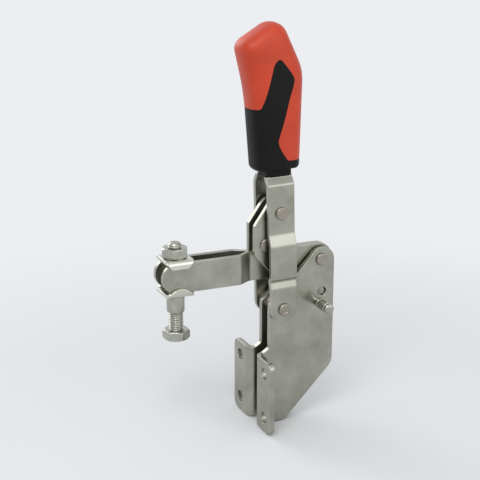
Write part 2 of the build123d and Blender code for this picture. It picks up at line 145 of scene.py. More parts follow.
@dataclass(frozen=True)
class PlatedSteel:
    """Zinc plated sheet or turned steel: a soft grey mirror, clouded by the plating and finely drawn."""

    name: str
    light: str
    dark: str
    roughness: float
    grain: GrainAxis
    cloud_mm: float = 9.0
    line_mm: float = 0.45
    bump: float = 0.07
    edge_mm: float = 0.35

    def build(self) -> bpy.types.Material:
        """Build the material.

        Returns:
            A node material with clouded colour, drawn lines, painted highlights along the edges and fine bump.
        """
        material = bpy.data.materials.new(self.name)
        material.use_nodes = True
        tree = material.node_tree
        shader = tree.nodes["Principled BSDF"]
        place = add_node(tree, "ShaderNodeTexCoord", {}, {}).outputs["Object"]
        cloud = add_node(
            tree,
            "ShaderNodeTexNoise",
            {"Scale": 1 / (self.cloud_mm * MM), "Detail": 4.0, "Roughness": 0.6},
            {"Vector": place},
        )
        stretched = add_node(
            tree, "ShaderNodeVectorMath", {"operation": "MULTIPLY", 1: self.grain.value}, {0: place}
        )
        # Drawn lines are coarser than the real ones so that they show at this size
        lines = add_node(
            tree,
            "ShaderNodeTexNoise",
            {"Scale": 1 / (self.line_mm * MM), "Detail": 2.0, "Roughness": 0.5},
            {"Vector": stretched.outputs[0]},
        )
        body = ramp(tree, cloud.outputs["Fac"], [(0.3, linear(self.dark)), (0.7, linear(self.light))])
        streak = add_node(
            tree,
            "ShaderNodeMix",
            {"data_type": "RGBA", "blend_type": "MULTIPLY", "Factor": 0.22},
            {6: body, 7: ramp(tree, lines.outputs["Fac"], [(0.25, grey(0.8)), (0.75, grey(1.0))])},
        )
        # Painted highlight: a lighter colour is painted along the sheared edges, where the rounded edges catch the
        # light
        edge = add_node(tree, "ShaderNodeBevel", {"samples": 4, "Radius": self.edge_mm * MM}, {})
        flat = add_node(tree, "ShaderNodeNewGeometry", {}, {})
        turn = add_node(
            tree,
            "ShaderNodeVectorMath",
            {"operation": "DOT_PRODUCT"},
            {0: edge.outputs["Normal"], 1: flat.outputs["Normal"]},
        )
        # Mask of the painted edge highlight, strongest where the rounded edge turns away from the flat face
        edge_highlight_mask = ramp(tree, turn.outputs["Value"], [(0.80, grey(0.75)), (0.995, grey(0.0))])
        edge_highlighted = add_node(
            tree,
            "ShaderNodeMix",
            {"data_type": "RGBA", 7: linear("D9DCCF")},
            {0: edge_highlight_mask, 6: streak.outputs[2]},
        )
        tree.links.new(edge_highlighted.outputs[2], shader.inputs["Base Color"])
        rough = add_node(
            tree,
            "ShaderNodeMapRange",
            {"To Min": self.roughness - 0.07, "To Max": self.roughness + 0.09},
            {"Value": cloud.outputs["Fac"]},
        )
        tree.links.new(rough.outputs["Result"], shader.inputs["Roughness"])
        bump = add_node(
            tree,
            "ShaderNodeBump",
            {"Strength": self.bump, "Distance": 0.05 * MM},
            {"Height": lines.outputs["Fac"], "Normal": edge.outputs["Normal"]},
        )
        tree.links.new(bump.outputs["Normal"], shader.inputs["Normal"])
        shader.inputs["Metallic"].default_value = 1.0
        return material


@dataclass(frozen=True)
class MouldedPlastic:
    """Injection moulded grip material: one colour with a fine spark-eroded texture and a soft gloss."""

    name: str
    light: str
    dark: str
    roughness: float
    grain_mm: float = 0.35
    bump: float = 0.25
    specular: float = 0.4

    def build(self) -> bpy.types.Material:
        """Build the material.

        Returns:
            A node material with mottled colour and a fine grain in its bump and gloss.
        """
        material = bpy.data.materials.new(self.name)
        material.use_nodes = True
        tree = material.node_tree
        shader = tree.nodes["Principled BSDF"]
        place = add_node(tree, "ShaderNodeTexCoord", {}, {}).outputs["Object"]
        mottle = add_node(
            tree, "ShaderNodeTexNoise", {"Scale": 1 / (14 * MM), "Detail": 3.0}, {"Vector": place}
        )
        grain = add_node(
            tree,
            "ShaderNodeTexNoise",
            {"Scale": 1 / (self.grain_mm * MM), "Detail": 2.0, "Roughness": 0.6},
            {"Vector": place},
        )
        colour = ramp(tree, mottle.outputs["Fac"], [(0.3, linear(self.dark)), (0.7, linear(self.light))])
        tree.links.new(colour, shader.inputs["Base Color"])
        rough = add_node(
            tree,
            "ShaderNodeMapRange",
            {"To Min": self.roughness - 0.06, "To Max": self.roughness + 0.08},
            {"Value": grain.outputs["Fac"]},
        )
        tree.links.new(rough.outputs["Result"], shader.inputs["Roughness"])
        bump = add_node(
            tree,
            "ShaderNodeBump",
            {"Strength": self.bump, "Distance": 0.04 * MM},
            {"Height": grain.outputs["Fac"]},
        )
        tree.links.new(bump.outputs["Normal"], shader.inputs["Normal"])
        shader.inputs["Specular IOR Level"].default_value = self.specular
        return material


# Zinc plated cold rolled strip: soft grey mirror, lines along the way the strip was rolled
PLATE_ALONG_Z = PlatedSteel("zinc_plate_upright", "B1B1A6", "97988C", 0.30, GrainAxis.ALONG_Z, cloud_mm=15.0)
PLATE_ALONG_X = PlatedSteel("zinc_plate_level", "B1B1A6", "97988C", 0.30, GrainAxis.ALONG_X, cloud_mm=15.0)
# Turned and formed rivets: slightly warmer and duller than the sheets
RIVET_STEEL = PlatedSteel("turned_rivet_steel", "A8A298", "928C83", 0.32, GrainAxis.ROUND_Y, cloud_mm=4.0)
# Screw steel: a wider band of painted edge highlight on the head and nut
SCREW_STEEL = PlatedSteel("zinc_screw_steel", "BBBCB1", "A0A197", 0.25, GrainAxis.ROUND_Y, cloud_mm=5.0, edge_mm=0.6)
# Washers: painted light, a lighter colour than the strips that they clamp, standing in for the light that their flaps
# catch
WASHER_ZINC_PAINTED_LIT = PlatedSteel("zinc_washer_painted_lit", "DADCD0", "C8CABE", 0.26, GrainAxis.ALONG_X, cloud_mm=12.0)
# Glass-filled nylon moulding: satin, slightly uneven red
RED_NYLON = MouldedPlastic("moulded_red_nylon", "C84020", "B8381B", 0.42)
# Thermoplastic rubber: near black, matt, with a faint gloss
DARK_RUBBER = MouldedPlastic(
    "soft_dark_rubber", "10110E", "0B0C0A", 0.50, grain_mm=0.5, bump=0.3, specular=0.16
)


def dress(target: bpy.types.Object, material: bpy.types.Material) -> None:
    """Give every material slot of an object one material.

    Args:
        target: The object to dress.
        material: The material that it gets.
    """
    slots = target.data.materials
    if not slots:
        slots.append(material)
    for index in range(len(slots)):
        slots[index] = material


def centre_of(node: str) -> Vector:
    """Return the middle of a node's box at rest."""
    low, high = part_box(node)
    return (Vector(low) + Vector(high)) / 2


def mesh_object(name: str, form: bmesh.types.BMesh, smooth_degrees: float = 35.0) -> bpy.types.Object:
    """Turn a bmesh into a shown object with smooth shading below an angle.

    Args:
        name: The piece's name.
        form: The bmesh, which is freed.
        smooth_degrees: Edges sharper than this stay sharp.

    Returns:
        The new object, linked into the scene.
    """
    bmesh.ops.recalc_face_normals(form, faces=form.faces)
    for edge in form.edges:
        edge.smooth = len(edge.link_faces) == 2 and edge.calc_face_angle(0.0) < math.radians(smooth_degrees)
    for face in form.faces:
        face.smooth = True
    mesh = bpy.data.meshes.new(name)
    form.to_mesh(mesh)
    form.free()
    made = bpy.data.objects.new(name, mesh)
    bpy.context.scene.collection.objects.link(made)
    return made


def turned_form(outline: list[tuple[float, float]], place: Matrix, sides: int = 96) -> bmesh.types.BMesh:
    """Turn an outline of (radius, height) round the Z axis of a place.

    Args:
        outline: Points from the lower axis end to the upper one.
        place: Where the turned form's own frame stands.
        sides: How many steps make the turn.

    Returns:
        A closed bmesh.
    """
    form = bmesh.new()
    rows: list[list[Any]] = []
    for radius, height in outline:
        count = 1 if radius < 1e-7 else sides
        row = []
        for step in range(count):
            angle = math.tau * step / sides
            point = Vector((radius * math.cos(angle), radius * math.sin(angle), height))
            row.append(form.verts.new(place @ point))
        rows.append(row)
    for low, high in zip(rows, rows[1:]):
        for step in range(sides):
            after = (step + 1) % sides
            corners = [low[step % len(low)], low[after % len(low)], high[after % len(high)], high[step % len(high)]]
            unique = list(dict.fromkeys(corners))
            if len(unique) > 2:
                form.faces.new(unique)
    return form


def flat_head_outline(radius: float, height: float, dimple: float = 0.0) -> list[tuple[float, float]]:
    """Half outline of a formed rivet head standing on Z = 0: flat on top, with a rounded rim.

    Args:
        radius: The head's radius.
        height: The head's height.
        dimple: Depth of the shallow press mark in the middle, or 0 for none.

    Returns:
        Points of (radius, height) from the base's middle to the crown.
    """
    rounding = min(height * 0.45, 0.7 * MM)
    undercut = 0.35 * MM
    points = [(0.0, 0.0), (radius - undercut, 0.0), (radius, undercut), (radius, height - rounding)]
    for step in range(1, 7):
        angle = math.pi / 2 * step / 6
        points.append(
            (radius - rounding + rounding * math.cos(angle), height - rounding + rounding * math.sin(angle))
        )
    if dimple:
        points += [(radius * 0.52, height), (radius * 0.44, height - dimple)]
        points.append((0.0, height - dimple * 0.8))
    else:
        points.append((0.0, height))
    return points


def rounded_loop(corners_in: list[tuple[float, float, float]], steps: int = 10) -> list[tuple[float, float]]:
    """Turn a polygon with a radius at each corner into a closed run of points.

    Args:
        corners_in: Corner X, corner Y and its rounding radius, in order round the loop.
        steps: How many steps make one rounding.

    Returns:
        The loop's points.
    """
    loop: list[tuple[float, float]] = []
    count = len(corners_in)
    for index, (x, y, radius) in enumerate(corners_in):
        here = Vector((x, y))
        if radius <= 0:
            loop.append((x, y))
            continue
        before = (Vector(corners_in[index - 1][:2]) - here).normalized()
        after = (Vector(corners_in[(index + 1) % count][:2]) - here).normalized()
        half = before.angle(after) / 2
        middle = here + (before + after).normalized() * radius / math.sin(half)
        start = here + before * radius / math.tan(half) - middle
        end = here + after * radius / math.tan(half) - middle
        turn = start.angle_signed(end)
        for step in range(steps + 1):
            angle = -turn * step / steps
            spun = Matrix.Rotation(angle, 2) @ start
            loop.append(tuple(middle + spun))
    return loop


def circle_loop(x: float, y: float, radius: float, sides: int = 48) -> list[tuple[float, float]]:
    """Return a circle's points."""
    return [
        (x + radius * math.cos(math.tau * k / sides), y + radius * math.sin(math.tau * k / sides))
        for k in range(sides)
    ]


def hull_loop(points: list[tuple[float, float]]) -> list[tuple[float, float]]:
    """Return the convex hull of some points, anticlockwise."""
    ordered = sorted(set(points))

    def chain(run: list[tuple[float, float]]) -> list[tuple[float, float]]:
        """Return one side of the hull."""
        side: list[tuple[float, float]] = []
        for point in run:
            while len(side) > 1:
                (ax, ay), (bx, by) = side[-2], side[-1]
                if (bx - ax) * (point[1] - ay) - (by - ay) * (point[0] - ax) > 1e-12:
                    break
                side.pop()
            side.append(point)
        return side[:-1]

    return chain(ordered) + chain(ordered[::-1])


def blank_form(loops: list[list[tuple[float, float]]], thickness: float, edge: float) -> bmesh.types.BMesh:
    """Cut a flat sheet blank: its outline first, then its holes, with edges rounded by the press.

    Args:
        loops: Closed runs of points, the outline and then the holes.
        thickness: Sheet thickness, centred on Z = 0.
        edge: Radius of the rounded edges.

    Returns:
        The blank as a closed bmesh.
    """
    curve = bpy.data.curves.new("blank", "CURVE")
    curve.dimensions = "2D"
    curve.fill_mode = "BOTH"
    curve.extrude = thickness / 2 - edge
    curve.bevel_depth = edge
    curve.bevel_resolution = 2
    curve.offset = -edge
    for loop in loops:
        spline = curve.splines.new("POLY")
        spline.points.add(len(loop) - 1)
        for point, (x, y) in zip(spline.points, loop):
            point.co = (x, y, 0.0, 1.0)
        spline.use_cyclic_u = True
    carrier = bpy.data.objects.new("blank", curve)
    bpy.context.scene.collection.objects.link(carrier)
    bpy.context.view_layer.update()
    mesh = bpy.data.meshes.new_from_object(carrier.evaluated_get(bpy.context.evaluated_depsgraph_get()))
    form = bmesh.new()
    form.from_mesh(mesh)
    bmesh.ops.remove_doubles(form, verts=form.verts, dist=1e-7)
    bpy.data.objects.remove(carrier)
    bpy.data.curves.remove(curve)
    bpy.data.meshes.remove(mesh)
    return form


def score(form: bmesh.types.BMesh, start: float, end: float, cuts: int) -> None:
    """Add evenly spaced edge lines across a blank, where it will be bent.

    Args:
        form: The blank.
        start: X of the first line.
        end: X of the last line.
        cuts: How many lines.
    """
    for index in range(cuts):
        x = start + (end - start) * index / (cuts - 1)
        bmesh.ops.bisect_plane(
            form,
            geom=form.verts[:] + form.edges[:] + form.faces[:],
            plane_co=(x, 0, 0),
            plane_no=(1, 0, 0),
        )


def even_shading(piece: bpy.types.Object) -> None:
    """Keep large flat faces flat where they meet rounded edges."""
    piece.modifiers.new("even_shading", "WEIGHTED_NORMAL").keep_sharp = True


def threaded_form(
    place: Matrix, radius: float, pitch: float, low: float, high: float, chamfer: float, sides: int = 64
) -> bmesh.types.BMesh:
    """Build an external screw thread as one closed helical surface.

    Args:
        place: Where the thread's axis and base stand.
        radius: The crest radius.
        pitch: The rise of one turn.
        low: Start height.
        high: End height.
        chamfer: Height over which the crest runs out at the upper end.
        sides: Steps in one turn.

    Returns:
        A closed bmesh.
    """
    form = bmesh.new()
    depth = 0.61 * pitch
    per_pitch = 8
    rows: list[list[Any]] = []
    count = int((high - low) / pitch * per_pitch)
    for index in range(count + 1):
        height = low + (high - low) * index / count
        row = []
        for step in range(sides):
            turn = step / sides
            phase = ((height - low) / pitch - turn) % 1.0
            cut = depth * (0.5 + 0.5 * math.cos(math.tau * phase)) ** 1.15
            run_out = max(0.0, (height - (high - chamfer)) / chamfer) if chamfer else 0.0
            reach = min(radius - cut, radius - run_out * chamfer * 0.9)
            angle = math.tau * turn
            point = Vector((reach * math.cos(angle), reach * math.sin(angle), height))
            row.append(form.verts.new(place @ point))
        rows.append(row)
    for lower, upper in zip(rows, rows[1:]):
        for step in range(sides):
            after = (step + 1) % sides
            form.faces.new((lower[step], lower[after], upper[after], upper[step]))
    form.faces.new(rows[0][::-1])
    form.faces.new(rows[-1])
    return form


def hexagon_form(
    place: Matrix, across_flats: float, low: float, high: float, bore: float, low_cut: bool, high_cut: bool
) -> bmesh.types.BMesh:
    """Build a hexagon head or nut with the curved corner chamfers that turning leaves.

    Args:
        place: Where the hexagon's axis and base stand.
        across_flats: The spanner size.
        low: Lower face height.
        high: Upper face height.
        bore: Radius of the hole, or 0 for none.
        low_cut: Whether the lower corners are chamfered.
        high_cut: Whether the upper corners are chamfered.

    Returns:
        A closed bmesh.
    """
    form = bmesh.new()
    sides = 96
    flat = across_flats / 2
    corner = flat / math.cos(math.pi / 6)
    face_radius = flat * 0.955
    steepness = math.tan(math.radians(30))
    levels = 10

    def reach(angle: float) -> float:
        """Return the hexagon's radius in one direction."""
        folded = (angle + math.pi / 6) % (math.pi / 3) - math.pi / 6
        return flat / math.cos(folded)

    heights = [low + (high - low) * (0.5 - 0.5 * math.cos(math.pi * k / levels)) for k in range(levels + 1)]
    rows = []
    for height in heights:
        row = []
        for step in range(sides):
            angle = math.tau * step / sides + math.pi / 6
            radius = reach(angle)
            if high_cut:
                radius = min(radius, face_radius + (high - height) / steepness)
            if low_cut:
                radius = min(radius, face_radius + (height - low) / steepness)
            turned = angle - math.pi / 6
            row.append(form.verts.new(place @ Vector((radius * math.cos(turned), radius * math.sin(turned), height))))
        rows.append(row)
    for lower, upper in zip(rows, rows[1:]):
        for step in range(sides):
            after = (step + 1) % sides
            form.faces.new((lower[step], lower[after], upper[after], upper[step]))
    if bore:
        inner = [
            [
                form.verts.new(
                    place @ Vector((bore * math.cos(math.tau * s / sides), bore * math.sin(math.tau * s / sides), h))
                )
                for s in range(sides)
            ]
            for h in (low, high)
        ]
        for step in range(sides):
            after = (step + 1) % sides
            form.faces.new((inner[0][after], inner[0][step], inner[1][step], inner[1][after]))
            form.faces.new((rows[0][after], rows[0][step], inner[0][step], inner[0][after]))
            form.faces.new((rows[-1][step], rows[-1][after], inner[1][after], inner[1][step]))
    else:
        form.faces.new(rows[0][::-1])
        form.faces.new(rows[-1])
    LOG.debug("hexagon corner radius %.4f", corner)
    return form


@dataclass
class PressedFrame:
    """The two folded frame plates with their fixed rivets, bushes and the side stud."""

    thickness: float = 3.0 * MM
    bend_radius: float = 1.5 * MM
    edge: float = 0.28 * MM
    flange_corner: float = 4.0 * MM
    foot_length: float = 18.0 * MM
    heel_height: float = 9.0 * MM
    heel_radius: float = 9.0 * MM
    rear_x: float = 47.4 * MM
    peak_height: float = 88.9 * MM
    boss_radius: float = 7.3 * MM
    front_x: float = 7.7 * MM
    front_top: float = 48.2 * MM
    front_corner: float = 4.0 * MM
    notch_height: float = 23.4 * MM
    vent: tuple[float, float, float] = (39.9 * MM, 52.8 * MM, 2.7 * MM)
    bolt_hole: tuple[float, float, float] = (16.0 * MM, 13.0 * MM, 3.3 * MM)
    fixed_parts: tuple[str, ...] = (
        "arm_pivot_bush_near",
        "arm_pivot_bush_far",
        "handle_pivot_spacer",
        "handle_pivot_washer_near",
        "handle_pivot_washer_far",
    )
    stud_base_radius: float = 2.5 * MM
    stud_tip_radius: float = 2.85 * MM
    stud_groove_radius: float = 1.8 * MM
    stud_base_reach: float = 6.0 * MM

    def build_plates(self, plate: bpy.types.Material, steel: bpy.types.Material) -> None:
        """Cut, pierce and fold the two plates, and dress the small turned parts between them.

        Args:
            plate: Plated sheet material.
            steel: Turned steel material.
        """
        for side, name in ((-1, "frame_plate_near"), (1, "frame_plate_far")):
            low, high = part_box(name)
            inner = high[1] if side < 0 else -low[1]
            outer = -low[1] if side < 0 else high[1]
            piece = mesh_object(name + "_folded", self.folded_form(side, abs(inner), outer, low[2], high[2]))
            even_shading(piece)
            dress(piece, plate)
            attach(piece, "frame")
            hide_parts(name)
            LOG.info("built %s", piece.name)
        for name in self.fixed_parts:
            dress(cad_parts[name], steel)
            LOG.info("dressed %s", name)

    def folded_form(self, side: int, inner: float, outer: float, low: float, high: float) -> bmesh.types.BMesh:
        """Fold one flat blank into a side plate with its flange.

        Args:
            side: -1 for the near plate, 1 for the far one.
            inner: Distance of the side plate's inner face from the middle plane.
            outer: Reach of the flange from the middle plane.
            low: The plate's lowest height.
            high: The arm boss's height in the solids, kept for the log.

        Returns:
            The folded plate.
        """
        middle_radius = self.bend_radius + self.thickness / 2
        bend_outer = self.bend_radius + self.thickness
        bend_length = middle_radius * math.pi / 2
        bend_y = inner + bend_outer
        flange = outer - bend_y
        top = -low

        def along(x: float) -> float:
            """Return the place along the flat blank of a side plate's X."""
            return x - bend_outer + bend_length

        outline = rounded_loop(
            [
                (-flange, low, self.flange_corner),
                (along(self.foot_length), low, 1.0 * MM),
                (along(self.rear_x), self.heel_height, self.heel_radius),
                (along(self.rear_x), self.peak_height, self.boss_radius),
                (along(self.front_x), self.front_top, self.front_corner),
                (along(self.front_x), self.notch_height, 1.5 * MM),
                (along(bend_outer) - 0.6 * MM, top, 2.0 * MM),
                (-flange, top, self.flange_corner),
            ]
        )
        hole_y, hole_z, hole_radius = self.bolt_hole
        vent_x, vent_z, vent_radius = self.vent
        holes = [circle_loop(bend_y - hole_y, z, hole_radius) for z in (-hole_z, hole_z)]
        holes.append(circle_loop(along(vent_x), vent_z, vent_radius))
        form = blank_form([outline] + holes, self.thickness, self.edge)
        score(form, 0.0, bend_length, 13)
        for vert in form.verts:
            s, height, t = vert.co
            if s < 0:
                x, y = bend_outer - (middle_radius + t), -bend_y + s
            elif s < bend_length:
                angle = s / middle_radius
                reach = middle_radius + t
                x, y = bend_outer - reach * math.cos(angle), -bend_y + reach * math.sin(angle)
            else:
                x, y = bend_outer + s - bend_length, -bend_y + middle_radius + t
            vert.co = (x, -side * y, height)
        LOG.debug("folded plate from %.4f, boss to %.4f in the solids", low, high)
        return form

    def build_stud(self, steel: bpy.types.Material) -> bpy.types.Object:
        """Turn the side stud in two sections with a groove between them.

        Args:
            steel: Screw material.

        Returns:
            The stud.
        """
        low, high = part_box("side_stud")
        middle = centre_of("side_stud")
        place = Matrix.Translation((middle.x, high[1], middle.z)) @ Matrix.Rotation(math.radians(90), 4, "X")
        length = high[1] - low[1]
        base, tip, neck = self.stud_base_radius, self.stud_tip_radius, self.stud_groove_radius
        step = self.thickness + self.stud_base_reach
        outline = [
            (0.0, 0.0),
            (base, 0.0),
            (base, step - 0.25 * MM),
            (base - 0.25 * MM, step),
            (neck, step),
            (neck, step + 1.0 * MM),
            (tip - 0.3 * MM, step + 1.0 * MM),
            (tip, step + 1.3 * MM),
            (tip, length - 3.0 * MM),
            (tip - 0.35 * MM, length - 2.8 * MM),
            (tip - 0.35 * MM, length - 2.4 * MM),
            (tip, length - 2.2 * MM),
            (tip, length - 1.0 * MM),
            (tip - 0.2 * MM, length - 0.5 * MM),
            (tip - 0.7 * MM, length - 0.15 * MM),
            (tip - 1.4 * MM, length),
            (0.0, length),
        ]
        stud = mesh_object("side_stud_turned", turned_form(outline, place), 50.0)
        dress(stud, steel)
        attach(stud, "frame")
        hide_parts("side_stud")
        LOG.info("built %s", stud.name)
        return stud


@dataclass
class Rivets:
    """Formed rivets: each shows a flat head with a rounded rim on both sides."""

    through: dict[str, str] = field(
        default_factory=lambda: {
            "arm_pivot_rivet": "frame",
            "handle_pivot_rivet": "frame",
            "link_arm_rivet": "arm",
            "stop_rivet": "link",
        }
    )
    half: dict[str, str] = field(
        default_factory=lambda: {"handle_link_rivet_near": "handle", "handle_link_rivet_far": "handle"}
    )
    head_radius: float = 3.6 * MM
    head_height: float = 1.9 * MM
    low_height: float = 1.1 * MM
    head_trim: float = 0.5 * MM

    def build(self, steel: bpy.types.Material) -> None:
        """Build every rivet in place of its plain solid.

        Args:
            steel: Rivet material.
        """
        dimples = {"handle_pivot_rivet": 0.45 * MM}
        for node, body in self.through.items():
            low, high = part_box(node)
            middle = centre_of(node)
            height = self.low_height if node in ("link_arm_rivet", "stop_rivet") else self.head_height
            shank = {"link_arm_rivet": 2.4, "stop_rivet": 3.3}.get(node, 3.0) * MM
            trim = self.head_trim if height == self.head_height else 0.0
            height -= trim
            length = high[1] - low[1] - 2 * trim
            head = flat_head_outline(self.head_radius, height, dimples.get(node, 0.0))
            upper = [(r, length - height + h) for r, h in head[1:]]
            lower = [(r, height - h) for r, h in head[1:]][::-1]
            neck = [(shank, height), (shank, length - height)]
            if node == "stop_rivet":
                tenon = 2.4 * MM
                sheet = 2.9 * MM
                neck = [
                    (tenon, height),
                    (tenon, height + sheet),
                    (shank, height + sheet),
                    (shank, length - height - sheet),
                    (tenon, length - height - sheet),
                    (tenon, length - height),
                ]
            start = Vector((middle.x, high[1] - trim, middle.z))
            place = Matrix.Translation(start) @ Matrix.Rotation(math.radians(90), 4, "X")
            piece = mesh_object(node + "_formed", turned_form(lower + neck + upper, place))
            self.finish(piece, steel, body, node)
        for node, body in self.half.items():
            low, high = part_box(node)
            middle = centre_of(node)
            near = middle.y < 0
            turn = math.radians(90 if near else -90)
            start = high[1] if near else low[1]
            length = high[1] - low[1] - self.head_trim
            collar = 1.2 * MM
            height = self.head_height - self.head_trim
            head = flat_head_outline(self.head_radius, height)
            outline = [(0.0, 0.0), (4.0 * MM, 0.0), (4.0 * MM, collar), (2.4 * MM, collar)]
            outline.append((2.4 * MM, length - height))
            outline += [(r, length - height + h) for r, h in head[1:]]
            place = Matrix.Translation((middle.x, start, middle.z)) @ Matrix.Rotation(turn, 4, "X")
            piece = mesh_object(node + "_formed", turned_form(outline, place))
            self.finish(piece, steel, body, node)

    def finish(self, piece: bpy.types.Object, steel: bpy.types.Material, body: str, node: str) -> None:
        """Dress a rivet and hang it on its body.

        Args:
            piece: The rivet.
            steel: Its material.
            body: The body that it moves with.
            node: The solid that it stands for.
        """
        dress(piece, steel)
        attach(piece, body)
        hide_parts(node)
        LOG.info("built %s", piece.name)


@dataclass
class ClampingArm:
    """The two arm strips with the clamping screw, its nut, collar and saddle washers."""

    pivot: tuple[float, float] = (39.5 * MM, 71.5 * MM)
    height: float = 16.5 * MM
    reach: float = 94.0 * MM
    thickness: float = 2.5 * MM
    joggle_start: float = 42.0 * MM
    joggle_length: float = 7.5 * MM
    half_gap: float = 4.4 * MM
    edge: float = 0.28 * MM
    washer_thickness: float = 2.0 * MM
    washer_half_length: float = 7.7 * MM
    washer_flat: float = 6.6 * MM
    washer_bend: float = 0.6 * MM
    washer_bore: float = 4.25 * MM
    upper_flap_reach: float = 11.2 * MM
    upper_flap_half: float = 4.7 * MM
    upper_flap_shoulder: float = 7.7 * MM
    lower_flap_reach: float = 11.6 * MM
    lower_flap_sag: float = 4.2 * MM
    across_flats: float = 13.0 * MM
    thread_radius: float = 4.0 * MM
    pitch: float = 1.25 * MM
    head_height: float = 5.3 * MM
    tip_chamfer: float = 1.5 * MM
    tip_drop: float = 1.2 * MM
    nut_drop: float = 1.2 * MM
    head_turn: float = math.radians(-24)
    nut_turn: float = math.radians(6)

    def offset_at(self, x: float) -> float:
        """Return how far a strip's inner face stands from the middle plane at X."""
        along = (self.pivot[0] - x - self.joggle_start) / self.joggle_length
        along = min(1.0, max(0.0, along))
        blend = along if self.joggle_length == 0 else 0.75 * along + 0.25 * along * along * (3 - 2 * along)
        return self.half_gap * blend

    def build_strips(self, plate: bpy.types.Material) -> None:
        """Build the two stepped strips.

        Args:
            plate: Plated sheet material.
        """
        half = self.height / 2
        rear, front = self.pivot[0] + half, self.pivot[0] - self.reach
        low, high = self.pivot[1] - half, self.pivot[1] + half
        outline = rounded_loop(
            [(front, low, half), (rear, low, half), (rear, high, half), (front, high, half)], 20
        )
        joggle = self.pivot[0] - self.joggle_start
        for side, name in ((-1, "arm_rail_near"), (1, "arm_rail_far")):
            form = blank_form([outline], self.thickness, self.edge)
            score(form, joggle + 1.0 * MM, joggle - self.joggle_length - 1.0 * MM, 15)
            for vert in form.verts:
                x, height, t = vert.co
                y = self.offset_at(x) + self.thickness / 2 + t
                vert.co = (x, side * y, height)
            piece = mesh_object(name + "_stepped", form)
            even_shading(piece)
            dress(piece, plate)
            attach(piece, "arm")
            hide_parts(name)
            LOG.info("built %s", piece.name)

    def fold_saddle(self, form: bmesh.types.BMesh, screw_x: float, level: float, fold: int) -> None:
        """Fold a saddle washer's two flaps over the strips.

        Args:
            form: The flat washer, with its length across the strips along X.
            screw_x: The screw's X.
            level: Height of the middle of the flat part.
            fold: -1 to fold the flaps down, 1 to fold them up.
        """
        radius = self.washer_bend + self.washer_thickness / 2
        arc = radius * math.pi / 2
        for start in (-self.washer_flat - arc, self.washer_flat):
            score(form, start, start + arc, 8)
        for vert in form.verts:
            s, x, t = vert.co
            side = math.copysign(1.0, s)
            beyond = abs(s) - self.washer_flat
            reach = radius - fold * t
            if beyond < 0:
                y, z = s, level + t
            elif beyond < arc:
                angle = beyond / radius
                y = side * (self.washer_flat + reach * math.sin(angle))
                z = level + fold * (radius - reach * math.cos(angle))
            else:
                y = side * (self.washer_flat + reach)
                z = level + fold * (radius + beyond - arc)
            vert.co = (screw_x + x, y, z)

    def build_washers(self, plate: bpy.types.Material) -> None:
        """Build the two saddle washers that the screw clamps on the strips.

        Args:
            plate: Plated sheet material.
        """
        screw_x = centre_of("clamping_screw").x
        half, reach = self.washer_half_length, self.upper_flap_reach
        tip, shoulder = self.upper_flap_half, self.upper_flap_shoulder
        upper = rounded_loop(
            [
                (-reach, -tip, 1.4 * MM),
                (-shoulder, -half, 1.2 * MM),
                (shoulder, -half, 1.2 * MM),
                (reach, -tip, 1.4 * MM),
                (reach, tip, 1.4 * MM),
                (shoulder, half, 1.2 * MM),
                (-shoulder, half, 1.2 * MM),
                (-reach, tip, 1.4 * MM),
            ],
            6,
        )
        steps = 24
        across = [-half + 2 * half * k / steps for k in range(steps + 1)]
        arc = [(self.lower_flap_reach - self.lower_flap_sag * (x / half) ** 2, x) for x in across]
        lower = arc + [(-s, x) for s, x in arc[::-1]]
        for name, outline, fold in (("upper_saddle_washer", upper, -1), ("lower_saddle_washer", lower, 1)):
            low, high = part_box(name)
            flat_face = high[2] if fold < 0 else low[2]
            level = flat_face + fold * self.washer_thickness / 2
            form = blank_form([outline, circle_loop(0.0, 0.0, self.washer_bore)], self.washer_thickness, self.edge)
            self.fold_saddle(form, screw_x, level, fold)
            piece = mesh_object(name + "_folded", form)
            even_shading(piece)
            dress(piece, plate)
            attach(piece, "arm")
            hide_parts(name)
            LOG.info("built %s", piece.name)

    def build_screw(self, steel: bpy.types.Material) -> None:
        """Build the screw with a real thread, its head, the lock nut and the collar.

        Args:
            steel: Screw material.
        """
        low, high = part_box("clamping_screw")
        middle = centre_of("clamping_screw")
        place = Matrix.Translation((middle.x, middle.y, low[2]))
        length = high[2] - low[2] - self.tip_drop
        head_place = place @ Matrix.Rotation(self.head_turn, 4, "Z")
        head = mesh_object(
            "screw_head",
            hexagon_form(head_place, self.across_flats, 0.0, self.head_height, 0.0, True, True),
            25.0,
        )
        thread = mesh_object(
            "screw_thread",
            threaded_form(place, self.thread_radius, self.pitch, self.head_height, length, self.tip_chamfer),
            60.0,
        )
        nut_low, nut_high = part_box("lock_nut")
        nut_place = Matrix.Translation((middle.x, middle.y, nut_low[2])) @ Matrix.Rotation(self.nut_turn, 4, "Z")
        nut = mesh_object(
            "lock_nut_turned",
            hexagon_form(
                nut_place, self.across_flats, 0.0, nut_high[2] - nut_low[2] - self.nut_drop, self.thread_radius + 0.02 * MM, True, True
            ),
            25.0,
        )
        collar_low, collar_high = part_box("threaded_collar")
        height = collar_high[2] - collar_low[2]
        radius = (collar_high[0] - collar_low[0]) / 2
        round_over = 0.5 * MM
        bore = self.thread_radius + 0.03 * MM
        ring = [
            (bore, 0.0),
            (radius - round_over, 0.0),
            (radius - 0.3 * round_over, 0.3 * round_over),
            (radius, round_over),
            (radius, height - round_over),
            (radius - round_over, height),
            (bore, height),
            (bore, 0.0),
        ]
        collar_place = Matrix.Translation((middle.x, middle.y, collar_low[2]))
        form = turned_form(ring, collar_place)
        bmesh.ops.remove_doubles(form, verts=form.verts, dist=1e-7)
        collar = mesh_object("threaded_collar_turned", form)
        for piece in (head, thread, nut, collar):
            dress(piece, steel)
            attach(piece, "arm")
            LOG.info("built %s", piece.name)
        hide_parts("clamping_screw")
        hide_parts("lock_nut")
        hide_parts("threaded_collar")


